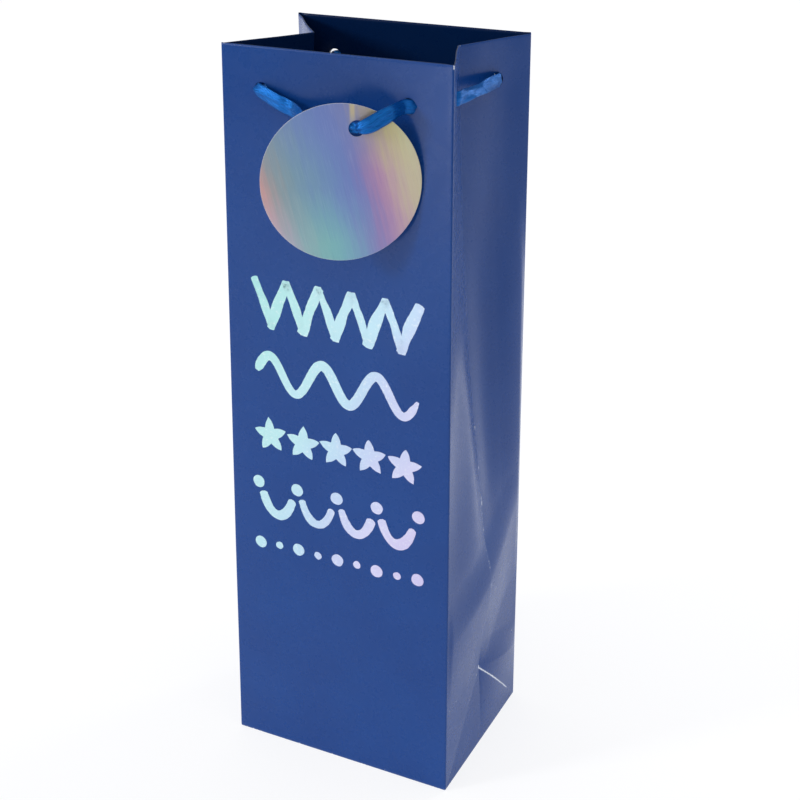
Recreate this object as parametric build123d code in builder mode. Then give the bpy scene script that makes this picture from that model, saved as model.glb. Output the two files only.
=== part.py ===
from build123d import *
from math import cos, pi, radians, sin, tan
import os

# Tall paper gift bag for a bottle, standing open on its base.
# +Z is up, the front faces -Y, and the origin is the centre of the base's underside.
# Millimetres and degrees.

# Bag
width = 120.0
depth = 90.0
height = 360.0
paper = 0.3
card = 0.8
air = 0.05  # between sheets that lie on each other
front_lean = 1.84  # the front panel leans in from its bottom fold
back_lean = 0.54
mouth_draw_in = 4.0  # at the top, each side fold of the front panel stands this far in
hem_depth = 38.0  # paper turned in at the mouth
hem_side_gap = 2.5  # between the hem and the gusset, and between the card and the hem's side
card_depth = 33.0
flap_overlap = 7.0  # front and back base flaps reach this far past the middle
side_flap_reach = 42.0
side_flap_tip = 12.0
board = 1.5
board_edge_gap = 1.5
board_corner = 3.0
foot_height = depth / 2  # the gusset is flat below this height
seam_width = 12.0
seam_gap = 1.0  # between the seam flap and the fold or hem beside it

# The gusset's crease: height, and how far it stands out of the side (+) or is tucked in (-)
crease_profile = [(45.0, 0.0), (96.0, 2.2), (142.0, -3.3), (208.0, -10.5), (300.0, -16.7), (360.0, -19.0)]
left_tuck = 1.55  # the left gusset is tucked in this many times deeper

# Eyelets for the ribbon, all on one line when the bag is folded flat
eyelet_r = 3.5
eyelet_from_fold = 20.5
eyelet_height = 341.0
front_eyelet_x = width / 2 - mouth_draw_in - eyelet_from_fold
back_eyelet_x = width / 2 - eyelet_from_fold

# Ribbon
ribbon_width = 5.0
ribbon_thick = 0.6
bunch_r = 2.0  # the ribbon gathers into a round bunch in an eyelet
ribbon_stand = 1.4  # the back span hangs this far off the panel
front_start = 0.4  # the front span begins this far off the panel
crossing_bulge = 2.5  # a side crossing stands this far outside its eyelets, halfway
crossing_sag = 0.5
back_droop = 46.0
knot_width = 10.0
knot_height = 8.0
knot_corner = 3.0
knot_gap = 0.5
knot_half_thick = 1.1
tail_length = 17.0
tail_root = 2.5  # each tail leaves the knot this far from its middle
tail_tip = 6.0

# Gift tag: a round card that hangs turned towards the right, held off the panel by the ribbon
tag_r = 33.85
tag_thick = 0.45
tag_centre = (13.2, -53.0, 310.4)
tag_turn = 28.8
tag_hole_r = 3.5
tag_hole_at = (7.1, 23.3)  # in the plane of the tag, from its centre
# Where the ribbon runs, from the tag's hole: along the tag, up it, and out in front of it
run_behind = (-7.5, 0.4, -3.4)
run_before = (7.0, 3.0, 2.4)
run_over_rim = (12.5, 5.5, 1.6)
run_slack = (-18.0, -4.5, 5.0)  # left of the tag: place on the panel from its eyelet's height, and off it

# Foil print: rows of party ornament on the front panel
foil = 0.1
stroke = 5.2
motif_half_width = 42.0
zigzag_row, wave_row, star_row, garland_row, dot_row = 243.0, 209.0, 176.0, 139.0, 117.0
zigzag_swing = 11.0
wave_swing = 8.5
star_r = 9.0
star_inner_r = 4.3
star_pitch = 17.8
garland_pitch = 21.5
garland_half = 8.2
garland_rise = 6.5
garland_drop = 5.0
dot_r = 3.2
dot_rise = 11.5
dot_pitch = 10.75
small_dot_r = 2.0


def faced(outward_y, lean):
    """Plane of a panel's outer face, its origin on the bottom fold."""
    normal = (0, outward_y * cos(radians(lean)), sin(radians(lean)))
    origin = (0, outward_y * depth / 2, 0)
    return Plane(origin=origin, x_dir=(-outward_y, 0, 0), z_dir=normal)


front_face = faced(-1, front_lean)
back_face = faced(1, back_lean)


def finish(builder, name):
    """Label a finished piece and write it."""
    builder.part.label = name
    export_step(builder.part, f"parts/{name}.step")


def panel_sheet(face, eyelet_x, inset, thick, low, high, half_low, half_high):
    """Flat sheet parallel to a panel, inset behind its face, with the two eyelets if it reaches them."""
    with BuildPart() as sheet:
        with BuildSketch(face.offset(-inset)):
            with BuildLine():
                Polyline(
                    (-half_low, low), (half_low, low), (half_high, high), (-half_high, high), close=True
                )
            make_face()
            with Locations((-eyelet_x, eyelet_height), (eyelet_x, eyelet_height)):
                Circle(eyelet_r, mode=Mode.SUBTRACT)
        extrude(amount=-thick)
    return sheet


def crease_offset(side, z):
    """Where a gusset's crease stands at a height, straight between the profile's points."""
    for (z0, out0), (z1, out1) in zip(crease_profile, crease_profile[1:]):
        if z <= z1:
            out = out0 + (out1 - out0) * (z - z0) / (z1 - z0)
            break
    return out * left_tuck if side < 0 and out < 0 else out


def gusset_line(side, half, z):
    """Ends of a gusset half's outer line at a height: at the panel, and at the crease."""
    front_y = -depth / 2 + z * tan(radians(front_lean))
    back_y = depth / 2 - z * tan(radians(back_lean))
    crease = Vector(side * (width / 2 + crease_offset(side, z)), (front_y + back_y) / 2, 0)
    behind_panel = paper + 4 * air
    if half < 0:
        draw_in = mouth_draw_in * z / height
        edge = Vector(side * (width / 2 - draw_in - air), front_y + behind_panel, 0)
    else:
        edge = Vector(side * (width / 2 - air), back_y - behind_panel, 0)
    return edge, crease


def gusset_frame(side, half, z):
    """Edge point, direction to the crease, direction into the bag, and length, at a height."""
    edge, crease = gusset_line(side, half, z)
    along = (crease - edge).normalized()
    inward = Vector(0, 0, 1).cross(along) * (-side * half)
    return edge, along, inward, (crease - edge).length


def gusset_sheet(side, half, heights, inset=0.0, start=0.0, stop=None, eyelet=False):
    """Thin curved sheet of a gusset half, lofted through its lines at the given heights."""
    with BuildPart() as sheet:
        for z in heights:
            edge, along, inward, length = gusset_frame(side, half, z)
            end = length - air if stop is None else stop
            corners = [
                edge + along * start + inward * inset,
                edge + along * end + inward * inset,
                edge + along * end + inward * (inset + paper),
                edge + along * start + inward * (inset + paper),
            ]
            with BuildSketch(Plane.XY.offset(z)):
                with BuildLine():
                    Polyline(*[(p.X, p.Y) for p in corners], close=True)
                make_face()
        loft(ruled=True)
        if eyelet:
            with BuildSketch(eyelet_plane(side, half)):
                Circle(eyelet_r)
            extrude(amount=eyelet_r, both=True, mode=Mode.SUBTRACT)
    return sheet


def eyelet_plane(side, half):
    """Plane on a gusset half's outer face at its eyelet, facing out of the bag."""
    edge, along, inward, _ = gusset_frame(side, half, eyelet_height)
    centre = edge + along * eyelet_from_fold + Vector(0, 0, eyelet_height)
    return Plane(origin=centre, x_dir=(0, 0, 1), z_dir=inward * -1)


def on_plane(plane, x, up, out=0.0):
    """Point given in a plane's own coordinates."""
    return plane.from_local_coords(Vector(x, up, out))


def bunch(path_points, tangents):
    """Gathered ribbon, round in section, along a smooth path."""
    with BuildPart() as cord:
        with BuildLine() as path:
            Spline(*path_points, tangents=tangents)
        with BuildSketch(Plane(origin=path.line @ 0, z_dir=path.line % 0)):
            Circle(bunch_r)
        sweep()
    return cord


os.makedirs("parts", exist_ok=True)

# Front and back panels, each with a stiffening card and the turned-in hem behind it
card_inset = paper + air
hem_inset = card_inset + card + air
hem_half = width / 2 - mouth_draw_in - hem_side_gap
card_half = hem_half - hem_side_gap
card_low = height - air - card_depth
card_high = height - air
hem_low = height - hem_depth
for name, face, eyelet_x in [("front", front_face, front_eyelet_x), ("back", back_face, back_eyelet_x)]:
    top_half = eyelet_x + eyelet_from_fold
    panel = panel_sheet(face, eyelet_x, 0, paper, air, height, width / 2, top_half)
    finish(panel, f"{name}_panel")
    stiffener = panel_sheet(face, eyelet_x, card_inset, card, card_low, card_high, card_half, card_half)
    finish(stiffener, f"{name}_card")
    hem = panel_sheet(face, eyelet_x, hem_inset, paper, hem_low, height, hem_half, hem_half)
    finish(hem, f"{name}_hem")

# Side gussets: flat foot, two halves that meet at the tucked crease, and their hems
crease_heights = [z for z, _ in crease_profile]
hem_heights = [hem_low, (hem_low + height) / 2, height]
foot_edge = depth / 2 - paper - 2 * air
front_rise = foot_height * tan(radians(front_lean))
back_rise = foot_height * tan(radians(back_lean))
for side, side_name in [(1, "right"), (-1, "left")]:
    with BuildPart() as foot:
        with BuildSketch(Plane.YZ.offset(side * (width / 2 - paper / 2))):
            with BuildLine():
                Polyline(
                    (-foot_edge, air),
                    (foot_edge, air),
                    (foot_edge - back_rise, foot_height - air),
                    (-foot_edge + front_rise, foot_height - air),
                    close=True,
                )
            make_face()
        extrude(amount=paper / 2, both=True)
    finish(foot, f"{side_name}_gusset_foot")

    hem_sheets = []
    for half, half_name in [(-1, "front"), (1, "back")]:
        sheet = gusset_sheet(side, half, crease_heights, eyelet=True)
        finish(sheet, f"{side_name}_gusset_{half_name}")
        hem_sheet = gusset_sheet(side, half, hem_heights, paper + air, start=hem_side_gap, eyelet=True)
        hem_sheets.append(hem_sheet.part)

    with BuildPart() as gusset_hem:
        add(hem_sheets)
    finish(gusset_hem, f"{side_name}_gusset_hem")

# Glued seam where the printed sheet closes on itself, inside the left gusset
seam_top = hem_low - seam_gap
seam_heights = [z for z in crease_heights if z < seam_top] + [seam_top]
seam = gusset_sheet(-1, 1, seam_heights, paper + air, start=seam_gap, stop=seam_gap + seam_width)
finish(seam, "side_seam_flap")

# Base: front flap outermost, then the back flap, the two side flaps, and the stiffening board
flap_x = width / 2 - paper - 2 * air
flap_y = depth / 2 - paper - 4 * air
flap_end_half = (width - depth) / 2
layer = paper + air


def base_flap(level, outward_y):
    """Front or back base flap: cut back at 45 degrees to the middle, then straight past it."""
    with BuildPart() as flap:
        with BuildSketch(Plane.XY.offset(level)):
            with BuildLine():
                Polyline(
                    (-flap_x, outward_y * flap_y),
                    (flap_x, outward_y * flap_y),
                    (flap_end_half, outward_y * (flap_y - flap_x + flap_end_half)),
                    (flap_end_half, -outward_y * flap_overlap),
                    (-flap_end_half, -outward_y * flap_overlap),
                    (-flap_end_half, outward_y * (flap_y - flap_x + flap_end_half)),
                    close=True,
                )
            make_face()
        extrude(amount=paper)
    return flap


finish(base_flap(0, -1), "base_flap_front")
finish(base_flap(layer, 1), "base_flap_back")

for side, side_name in [(1, "right"), (-1, "left")]:
    with BuildPart() as side_flap:
        with BuildSketch(Plane.XY.offset(2 * layer)):
            with BuildLine():
                Polyline(
                    (side * flap_x, -flap_y),
                    (side * flap_x, flap_y),
                    (side * (flap_x - side_flap_reach), side_flap_tip),
                    (side * (flap_x - side_flap_reach), -side_flap_tip),
                    close=True,
                )
            make_face()
        extrude(amount=paper)
    finish(side_flap, f"base_flap_{side_name}")

with BuildPart() as base_board:
    with BuildSketch(Plane.XY.offset(3 * layer)):
        RectangleRounded(width - 2 * board_edge_gap, depth - 2 * board_edge_gap, board_corner)
    extrude(amount=board)
finish(base_board, "base_board")

# Ribbon inside each corner: in at the panel's eyelet, out at the gusset's
for face, half, half_name, eyelet_x in [
    (front_face, -1, "front", front_eyelet_x),
    (back_face, 1, "back", back_eyelet_x),
]:
    for side, side_name in [(1, "right"), (-1, "left")]:
        across = eyelet_x * side * -half
        gusset_eyelet = eyelet_plane(side, half)
        link = bunch(
            [on_plane(face, across, eyelet_height), gusset_eyelet.origin],
            [face.z_dir * -1, gusset_eyelet.z_dir],
        )
        finish(link, f"ribbon_link_{half_name}_{side_name}")

# Ribbon across the outside of each gusset, from eyelet to eyelet over the tuck
for side, side_name in [(1, "right"), (-1, "left")]:
    front_eyelet = eyelet_plane(side, -1)
    back_eyelet = eyelet_plane(side, 1)
    leaves = front_eyelet.origin + front_eyelet.z_dir * 2 * air
    enters = back_eyelet.origin + back_eyelet.z_dir * 2 * air
    middle = (leaves + enters) * 0.5 + Vector(side * crossing_bulge, 0, -crossing_sag)
    crossing = bunch([leaves, middle, enters], [front_eyelet.z_dir, back_eyelet.z_dir * -1])
    finish(crossing, f"{side_name}_ribbon_crossing")

# Front span of the ribbon: from the left eyelet, behind the tag, out through its hole, to the right eyelet
tag_plane = Plane(
    origin=tag_centre,
    x_dir=(cos(radians(tag_turn)), sin(radians(tag_turn)), 0),
    z_dir=(sin(radians(tag_turn)), -cos(radians(tag_turn)), 0),
)
from_hole = Vector(*tag_hole_at, 0)
tag_runs = [run_behind, (0, 0, 0), run_before, run_over_rim]
with BuildPart() as front_span:
    with BuildLine() as front_path:
        Spline(
            on_plane(front_face, -front_eyelet_x, eyelet_height, front_start),
            on_plane(front_face, run_slack[0], eyelet_height + run_slack[1], run_slack[2]),
            *[tag_plane.from_local_coords(from_hole + Vector(*run)) for run in tag_runs],
            on_plane(front_face, front_eyelet_x, eyelet_height, front_start),
        )
    with BuildSketch(Plane(origin=front_path.line @ 0, x_dir=(0, 0, 1), z_dir=front_path.line % 0)):
        Rectangle(ribbon_width, ribbon_thick)
    sweep()
finish(front_span, "ribbon_front_span")

with BuildPart() as gift_tag:
    with BuildSketch(tag_plane):
        Circle(tag_r)
        with Locations(tag_hole_at):
            Circle(tag_hole_r, mode=Mode.SUBTRACT)
    extrude(amount=tag_thick / 2, both=True)
finish(gift_tag, "gift_tag")

# Back span of the ribbon, its two ends tied in a knot at the lowest point
knot_up = eyelet_height - back_droop
with BuildPart() as back_span:
    for side in (1, -1):
        with BuildSketch(back_face.offset(ribbon_stand)):
            with BuildLine():
                Spline(
                    (side * back_eyelet_x, eyelet_height),
                    (side * back_eyelet_x * 0.72, eyelet_height - back_droop * 0.62),
                    (side * (knot_width / 2 + knot_gap), knot_up),
                    tangents=[(0, -1), (-side, 0)],
                )
            trace(line_width=ribbon_width)
        extrude(amount=ribbon_thick)
finish(back_span, "ribbon_back_span")

with BuildPart() as ribbon_knot:
    knot_plane = back_face.offset(ribbon_stand + ribbon_thick / 2)
    with BuildSketch(knot_plane):
        with Locations((0, knot_up)):
            RectangleRounded(knot_width, knot_height, knot_corner)
    extrude(amount=knot_half_thick, both=True)
    with BuildSketch(back_face.offset(ribbon_stand)):
        for lean in (-1, 1):
            with BuildLine():
                Line((lean * tail_root, knot_up - tail_root), (lean * tail_tip, knot_up - tail_length))
            trace(line_width=ribbon_width)
    extrude(amount=ribbon_thick)
finish(ribbon_knot, "ribbon_knot")

# Foil print: zigzag, wave, stars, a scalloped garland with dots, and a row of dots, one under the other


def wave_points(mid, swing, waves):
    """Points of a wave across the motif, a crest or trough at every second one."""
    count = 4 * waves
    step = 2 * motif_half_width / count
    return [(-motif_half_width + i * step, mid + swing * sin(pi * i / 2)) for i in range(count + 1)]


def zigzag_points(mid, swing, teeth):
    """Points of a zigzag across the motif."""
    step = motif_half_width / teeth
    return [(-motif_half_width + i * step, mid + swing * (-1) ** i) for i in range(2 * teeth + 1)]


def star_points(x, y, outer, inner):
    """Points of a five-pointed star."""
    radii = [outer, inner] * 5
    return [(x + r * sin(pi * i / 5), y + r * cos(pi * i / 5)) for i, r in enumerate(radii)]


with BuildPart() as foil_motif:
    with BuildSketch(front_face.offset(air / 2)):
        with BuildLine():
            Polyline(*zigzag_points(zigzag_row, zigzag_swing, 5))
        trace(line_width=stroke)
        with BuildLine():
            Spline(*wave_points(wave_row, wave_swing, 3))
        trace(line_width=stroke)
        for place in range(-2, 3):
            with BuildLine():
                Polyline(*star_points(place * star_pitch, star_row, star_r, star_inner_r), close=True)
            make_face()
        for place in (-1.5, -0.5, 0.5, 1.5):
            x = place * garland_pitch
            with BuildLine():
                ThreePointArc(
                    (x - garland_half, garland_row + garland_rise),
                    (x, garland_row - garland_drop),
                    (x + garland_half, garland_row + garland_rise),
                )
            trace(line_width=stroke)
        with Locations(*[(place * garland_pitch, garland_row + dot_rise) for place in range(-2, 3)]):
            Circle(dot_r)
        for place in range(-4, 5):
            with Locations((place * dot_pitch, dot_row)):
                Circle(small_dot_r if place % 2 else dot_r)
    extrude(amount=foil, dir=front_face.z_dir)
finish(foil_motif, "foil_motif")
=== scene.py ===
"""Visual model of the paper gift bag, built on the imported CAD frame.

Lengths in the functions below are millimetres in the row frame (+Z up, front towards -Y); meshes are
scaled to metres when they are made. Outward, or half on a gusset, is -1 at the front and +1 at the back;
side is -1 on the left and +1 on the right.
"""
from math import acos, ceil, cos, pi, radians, sin, sqrt, tan

import bmesh
import bpy
from mathutils import Matrix, Vector, noise

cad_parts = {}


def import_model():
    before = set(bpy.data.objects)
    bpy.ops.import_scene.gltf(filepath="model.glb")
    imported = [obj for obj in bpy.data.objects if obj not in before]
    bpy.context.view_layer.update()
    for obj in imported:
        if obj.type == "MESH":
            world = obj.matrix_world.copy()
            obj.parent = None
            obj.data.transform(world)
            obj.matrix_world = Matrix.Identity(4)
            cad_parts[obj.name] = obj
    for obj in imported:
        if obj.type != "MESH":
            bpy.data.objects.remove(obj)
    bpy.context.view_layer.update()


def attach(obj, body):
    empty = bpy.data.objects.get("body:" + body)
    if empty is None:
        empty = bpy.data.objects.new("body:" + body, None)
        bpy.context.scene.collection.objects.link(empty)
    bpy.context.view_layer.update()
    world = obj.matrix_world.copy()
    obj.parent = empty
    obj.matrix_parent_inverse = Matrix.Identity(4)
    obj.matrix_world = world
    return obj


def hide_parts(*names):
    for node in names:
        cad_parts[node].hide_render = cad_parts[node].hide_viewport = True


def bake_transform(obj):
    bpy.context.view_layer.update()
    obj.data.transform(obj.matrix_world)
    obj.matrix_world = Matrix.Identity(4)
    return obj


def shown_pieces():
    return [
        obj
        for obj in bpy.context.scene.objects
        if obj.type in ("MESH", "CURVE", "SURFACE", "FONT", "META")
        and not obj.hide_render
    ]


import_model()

MM = 0.001
UP = Vector((0, 0, 1))
RIGHT = Vector((1, 0, 0))
WHERE = {-1: "front", 1: "back"}
SIDE = {-1: "left", 1: "right"}

# Bag, the same dimensions as the CAD
HALF_W = 60.0
HALF_D = 45.0
HEIGHT = 360.0
LEAN = {-1: radians(1.84), 1: radians(0.54)}
DRAW_IN = 4.0
PAPER = 0.3
HEM_LOW = HEIGHT - 38.0
HEM_THICK = 1.5
HEM_THICK_AT_FOLD = 0.62
GUSSET_HEM_THICK = 0.66
FOOT = 45.0
EYE_UP = 341.0
EYE_R = 3.5
EYE_X = {-1: 35.5, 1: 39.5}
GUSSET_EYE_FROM_FOLD = 19.6

# Look of the folded paper, and how finely it is cut
FOLD_R = 0.75  # outer radius of the vertical folds
FOLD_STEPS = 6
BASE_R = 0.8  # outer radius of the fold round the base
TOP_TURN = 5  # rows of the rounded top edge
PANEL_COLUMNS = 52
GUSSET_COLUMNS = 56
# how far a gusset's crease stands out of the side at a height
CREASE_PROFILE = [
    (0, 0), (45, -2.3), (70, -1.0), (96, 0.5), (142, -3.3), (208, -10.5), (300, -16.7), (360, -19.0)
]
# how far the gusset's back half stands out between its fold (0) and the crease (1), low down and high up
BACK_BULGE = [(0.0, 0.0), (0.12, 2.0), (0.50, -0.3), (0.75, -1.3), (1.0, 0.0)]
BACK_SINK = [(0.0, 0.0), (0.38, -1.7), (1.0, 0.0)]
LEFT_TUCK = 1.55  # the left gusset is tucked in deeper, above this height
TUCK_FROM = 120.0
FOLD_LIFT = 2.8  # how far the short fold over the back corner stands out
FOOT_DENT = -2.3  # the crease's lower end is pressed in

# Tag
TAG_R = 33.85
TAG_THICK = 0.45
TAG_CENTRE = Vector((13.2, -53.0, 310.4))
TAG_TURN = radians(28.8)
TAG_X = Vector((cos(TAG_TURN), sin(TAG_TURN), 0))
TAG_OUT = Vector((sin(TAG_TURN), -cos(TAG_TURN), 0))
TAG_HOLE = Vector((7.1, 23.3))
TAG_HOLE_R = 3.5
TAG_RINGS = 26
TAG_SPOKES = 180

# Ribbon
SATIN_THICK = 0.32
SATIN_COLUMNS = 18
KNOT_DOWN = 46.0  # from the eyelets

# Foil ornament
FOIL = 0.08
FOIL_LOW = 0.01
STROKE = 5.3
MOTIF_HALF = 42.0
ZIGZAG_UP = 243.0
WAVE_UP = 209.0
STARS_UP = 176.0
SCALLOPS_UP = 134.0
DOTS_UP = 117.0


# ---- small tools


def smooth(t):
    """Smoothstep of t clamped to 0..1."""
    t = min(1.0, max(0.0, t))
    return t * t * (3 - 2 * t)


def spline(keys, t):
    """Catmull-Rom through equally weighted keys (floats or Vectors), t in 0..1."""
    spans = len(keys) - 1
    place = min(spans - 1e-9, max(0.0, t * spans))
    i = int(place)
    f = place - i
    p0 = keys[max(0, i - 1)]
    p1, p2 = keys[i], keys[i + 1]
    p3 = keys[min(spans, i + 2)]
    rise = (p2 - p0) * (0.5 * f) + (p0 * 2 - p1 * 5 + p2 * 4 - p3) * (0.5 * f * f)
    return p1 + rise + (p1 * 3 - p0 - p2 * 3 + p3) * (0.5 * f * f * f)


def profile_at(points, z):
    """Smooth curve through (z, value) points."""
    for i, ((z0, v0), (z1, v1)) in enumerate(zip(points, points[1:])):
        if z <= z1 or i == len(points) - 2:
            break
    before = points[max(0, i - 1)]
    after = points[min(len(points) - 1, i + 2)]
    h = z1 - z0
    f = (z - z0) / h
    slope0 = h * (v1 - before[1]) / (z1 - before[0])
    slope1 = h * (after[1] - v0) / (after[0] - z0)
    ends = v0 * (2 * f**3 - 3 * f**2 + 1) + v1 * (3 * f**2 - 2 * f**3)
    return ends + slope0 * (f**3 - 2 * f**2 + f) + slope1 * (f**3 - f**2)


def link(obj):
    """Puts an object in the scene."""
    bpy.context.scene.collection.objects.link(obj)
    return obj


def make_object(name, verts, faces, materials, face_slots=None, sharp=35.0):
    """Mesh object from millimetre points, facing outwards, smooth with sharp edges above an angle."""
    mesh = bpy.data.meshes.new(name)
    mesh.from_pydata([v * MM for v in verts], [], faces)
    for m in materials:
        mesh.materials.append(m)
    if face_slots:
        mesh.polygons.foreach_set("material_index", face_slots)
    bm = bmesh.new()
    bm.from_mesh(mesh)
    bmesh.ops.recalc_face_normals(bm, faces=bm.faces)
    bm.to_mesh(mesh)
    bm.free()
    mesh.shade_smooth()
    mesh.set_sharp_from_angle(angle=radians(sharp))
    return link(bpy.data.objects.new(name, mesh))


def grid_faces(rows, cols, wrap_rows=False, wrap_cols=False, first=0):
    """Quads between points counted row by row; a wrapped direction closes on itself."""
    faces = []
    for i in range(rows if wrap_rows else rows - 1):
        here, there = first + i * cols, first + (i + 1) % rows * cols
        for c in range(cols if wrap_cols else cols - 1):
            d = (c + 1) % cols
            faces.append([here + c, here + d, there + d, there + c])
    return faces


def set_uv(obj, uv_at):
    """Gives every point of a mesh its texture place."""
    layer = obj.data.uv_layers.new(name="UVMap")
    for loop in obj.data.loops:
        layer.data[loop.index].uv = uv_at[loop.vertex_index]


def punch(obj, centre, direction, material):
    """Cuts an eyelet's hole through a sheet; the cut edge takes a material of its own."""
    bm = bmesh.new()
    radius = EYE_R * MM
    bmesh.ops.create_cone(bm, cap_ends=True, segments=64, radius1=radius, radius2=radius, depth=8 * MM)
    mesh = bpy.data.meshes.new("cutter")
    bm.to_mesh(mesh)
    bm.free()
    mesh.materials.append(material)
    cutter = link(bpy.data.objects.new("cutter", mesh))
    turn = direction.to_track_quat("Z", "Y").to_matrix().to_4x4()
    cutter.matrix_world = Matrix.Translation(centre * MM) @ turn
    cut = obj.modifiers.new("hole", "BOOLEAN")
    cut.object = cutter
    cut.operation = "DIFFERENCE"
    cut.solver = "EXACT"
    cut.material_mode = "TRANSFER"
    bpy.context.view_layer.update()
    graph = bpy.context.evaluated_depsgraph_get()
    holed = bpy.data.meshes.new_from_object(obj.evaluated_get(graph))
    obj.modifiers.clear()
    obj.data = holed
    bpy.data.objects.remove(cutter)
    holed.shade_smooth()
    holed.set_sharp_from_angle(angle=radians(35))


def stand_for(obj, slot_name, *nodes):
    """Hides the CAD pieces that an object shows in their place; the material's name is not used."""
    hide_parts(*nodes)


# ---- materials


class Nodes:
    """Writes the shader nodes of a material or world in one line each."""

    def __init__(self, owner):
        owner.use_nodes = True
        self.owner = owner
        self.tree = owner.node_tree
        self.bsdf = self.tree.nodes.get("Principled BSDF")

    def new(self, kind, inputs=None, **settings):
        """Node of a kind with settings and inputs; an input is a value or another node's socket."""
        node = self.tree.nodes.new("ShaderNode" + kind)
        for key, value in settings.items():
            setattr(node, key, value)
        for key, value in (inputs or {}).items():
            self.put(node.inputs[key], value)
        return node

    def put(self, socket, value):
        """Links a socket or sets its value."""
        if isinstance(value, bpy.types.NodeSocket):
            self.tree.links.new(value, socket)
        else:
            socket.default_value = value

    def set(self, **inputs):
        """Sets the Principled inputs; underscores stand for spaces."""
        for key, value in inputs.items():
            self.put(self.bsdf.inputs[key.replace("_", " ")], value)
        return self.owner

    def place(self, kind="Object"):
        """Texture coordinates of a kind."""
        return self.new("TexCoord").outputs[kind]

    def stretch(self, vector, scale, turn=0.0):
        """Coordinates turned about Z, times a scale."""
        return self.new("Mapping", {"Vector": vector, "Scale": scale, "Rotation": (0, 0, turn)}).outputs[0]

    def split(self, vector):
        """The x, y and z of a vector."""
        return self.new("SeparateXYZ", {"Vector": vector}).outputs

    def noise(self, vector, scale, detail=4.0, rough=0.55):
        """Noise factor."""
        inputs = {"Vector": vector, "Scale": scale, "Detail": detail, "Roughness": rough}
        return self.new("TexNoise", inputs).outputs[0]

    def span(self, value, low, high, to_low=0.0, to_high=1.0):
        """Maps low..high to to_low..to_high, clamped."""
        inputs = {"Value": value, "From Min": low, "From Max": high, "To Min": to_low, "To Max": to_high}
        return self.new("MapRange", inputs).outputs[0]

    def math(self, operation, a, b=0.0):
        """One maths step."""
        return self.new("Math", {0: a, 1: b}, operation=operation).outputs[0]

    def times(self, a, b):
        """Product of two values."""
        return self.math("MULTIPLY", a, b)

    def plus(self, a, b):
        """Sum of two values."""
        return self.math("ADD", a, b)

    def sway(self, value, amount):
        """A 0..1 value turned into one that goes evenly both ways from 0."""
        return self.times(self.math("SUBTRACT", value, 0.5), amount)

    def mix(self, factor, a, b):
        """Mixes two colours."""
        return self.new("Mix", {0: factor, 6: a, 7: b}, data_type="RGBA").outputs[2]

    def ramp(self, value, stops):
        """Colour ramp from (position, red, green, blue) stops."""
        node = self.new("ValToRGB", {"Fac": value})
        node.color_ramp.interpolation = "B_SPLINE"
        elements = node.color_ramp.elements
        while len(elements) < len(stops):
            elements.new(0.5)
        for element, (place, *colour) in zip(elements, stops):
            element.position = place
            element.color = (*colour, 1)
        return node.outputs[0]

    def bump(self, height, distance, strength):
        """Bump normal."""
        return self.new("Bump", {"Height": height, "Distance": distance, "Strength": strength}).outputs[0]


BLUE = (0.0030, 0.0500, 0.2380)
RAW_WHITE = (0.80, 0.79, 0.76, 1)


def blue_laminate(name, worn=True, both_sides=False, ior=1.37, painted_shade_factor=1.0):
    """Deep blue print under matt film, worn to white paper where the wear attributes say so; a shade factor
    below 1 darkens it all as painted shade.
    """
    n = Nodes(bpy.data.materials.new(name))
    place = n.stretch(n.place(), (1, 1, 1))
    cloud = n.noise(place, 22.0, 3.0)
    # painted shade: the factor darkens both blues evenly
    deep = [part * share * painted_shade_factor for part, share in zip(BLUE, (0.90, 0.92, 0.95))]
    pale = [part * share * painted_shade_factor for part, share in zip(BLUE, (1.10, 1.08, 1.06))]
    colour = n.mix(n.span(cloud, 0.3, 0.7), (*deep, 1), (*pale, 1))
    felt = n.noise(place, 160.0, 4.0, 0.6)
    rough = n.span(felt, 0.3, 0.7, 0.25, 0.31)
    if worn:
        wear = n.new("Attribute", attribute_name="fold_wear").outputs["Fac"]
        speck = n.noise(n.stretch(n.place(), (1, 1, 0.5)), 640.0, 2.0, 0.6)
        limit = n.span(wear, 0.0, 1.0, 0.80, 0.34)
        bare = n.span(n.math("SUBTRACT", speck, limit), -0.02, 0.05)
        bare = n.times(bare, n.span(wear, 0.02, 0.12))
        scuff = n.new("Attribute", attribute_name="bare_line").outputs["Fac"]
        rubbed = n.plus(scuff, n.times(speck, 0.2))
        bare = n.math("MAXIMUM", bare, n.span(rubbed, 0.88, 0.94))
        colour = n.mix(n.times(wear, 0.16), colour, (0.22, 0.30, 0.52, 1))
        colour = n.mix(bare, colour, (0.74, 0.78, 0.86, 1))
        rough = n.math("MAXIMUM", rough, n.times(bare, 0.8))
    if both_sides:
        up = n.split(n.new("NewGeometry").outputs["Normal"])[2]
        inside = n.span(up, 0.2, 0.3)
        colour = n.mix(inside, colour, RAW_WHITE)
        rough = n.math("MAXIMUM", rough, n.times(inside, 0.8))
    return n.set(Base_Color=colour, Roughness=rough, Normal=n.bump(felt, 0.00001, 0.25), IOR=ior)


def raw_paper(name):
    """Uncoated inside of the sheet: white with faint fibres."""
    n = Nodes(bpy.data.materials.new(name))
    place = n.stretch(n.place(), (1, 1, 2.2))
    fibre = n.noise(place, 420.0, 6.0, 0.7)
    flock = n.noise(place, 60.0)
    colour = n.mix(n.span(flock, 0.3, 0.7), (0.76, 0.75, 0.72, 1), (0.84, 0.83, 0.80, 1))
    colour = n.mix(n.span(fibre, 0.62, 0.75), colour, (0.68, 0.66, 0.61, 1))
    return n.set(Base_Color=colour, Roughness=0.85, Normal=n.bump(fibre, 0.00004, 0.5))


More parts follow.
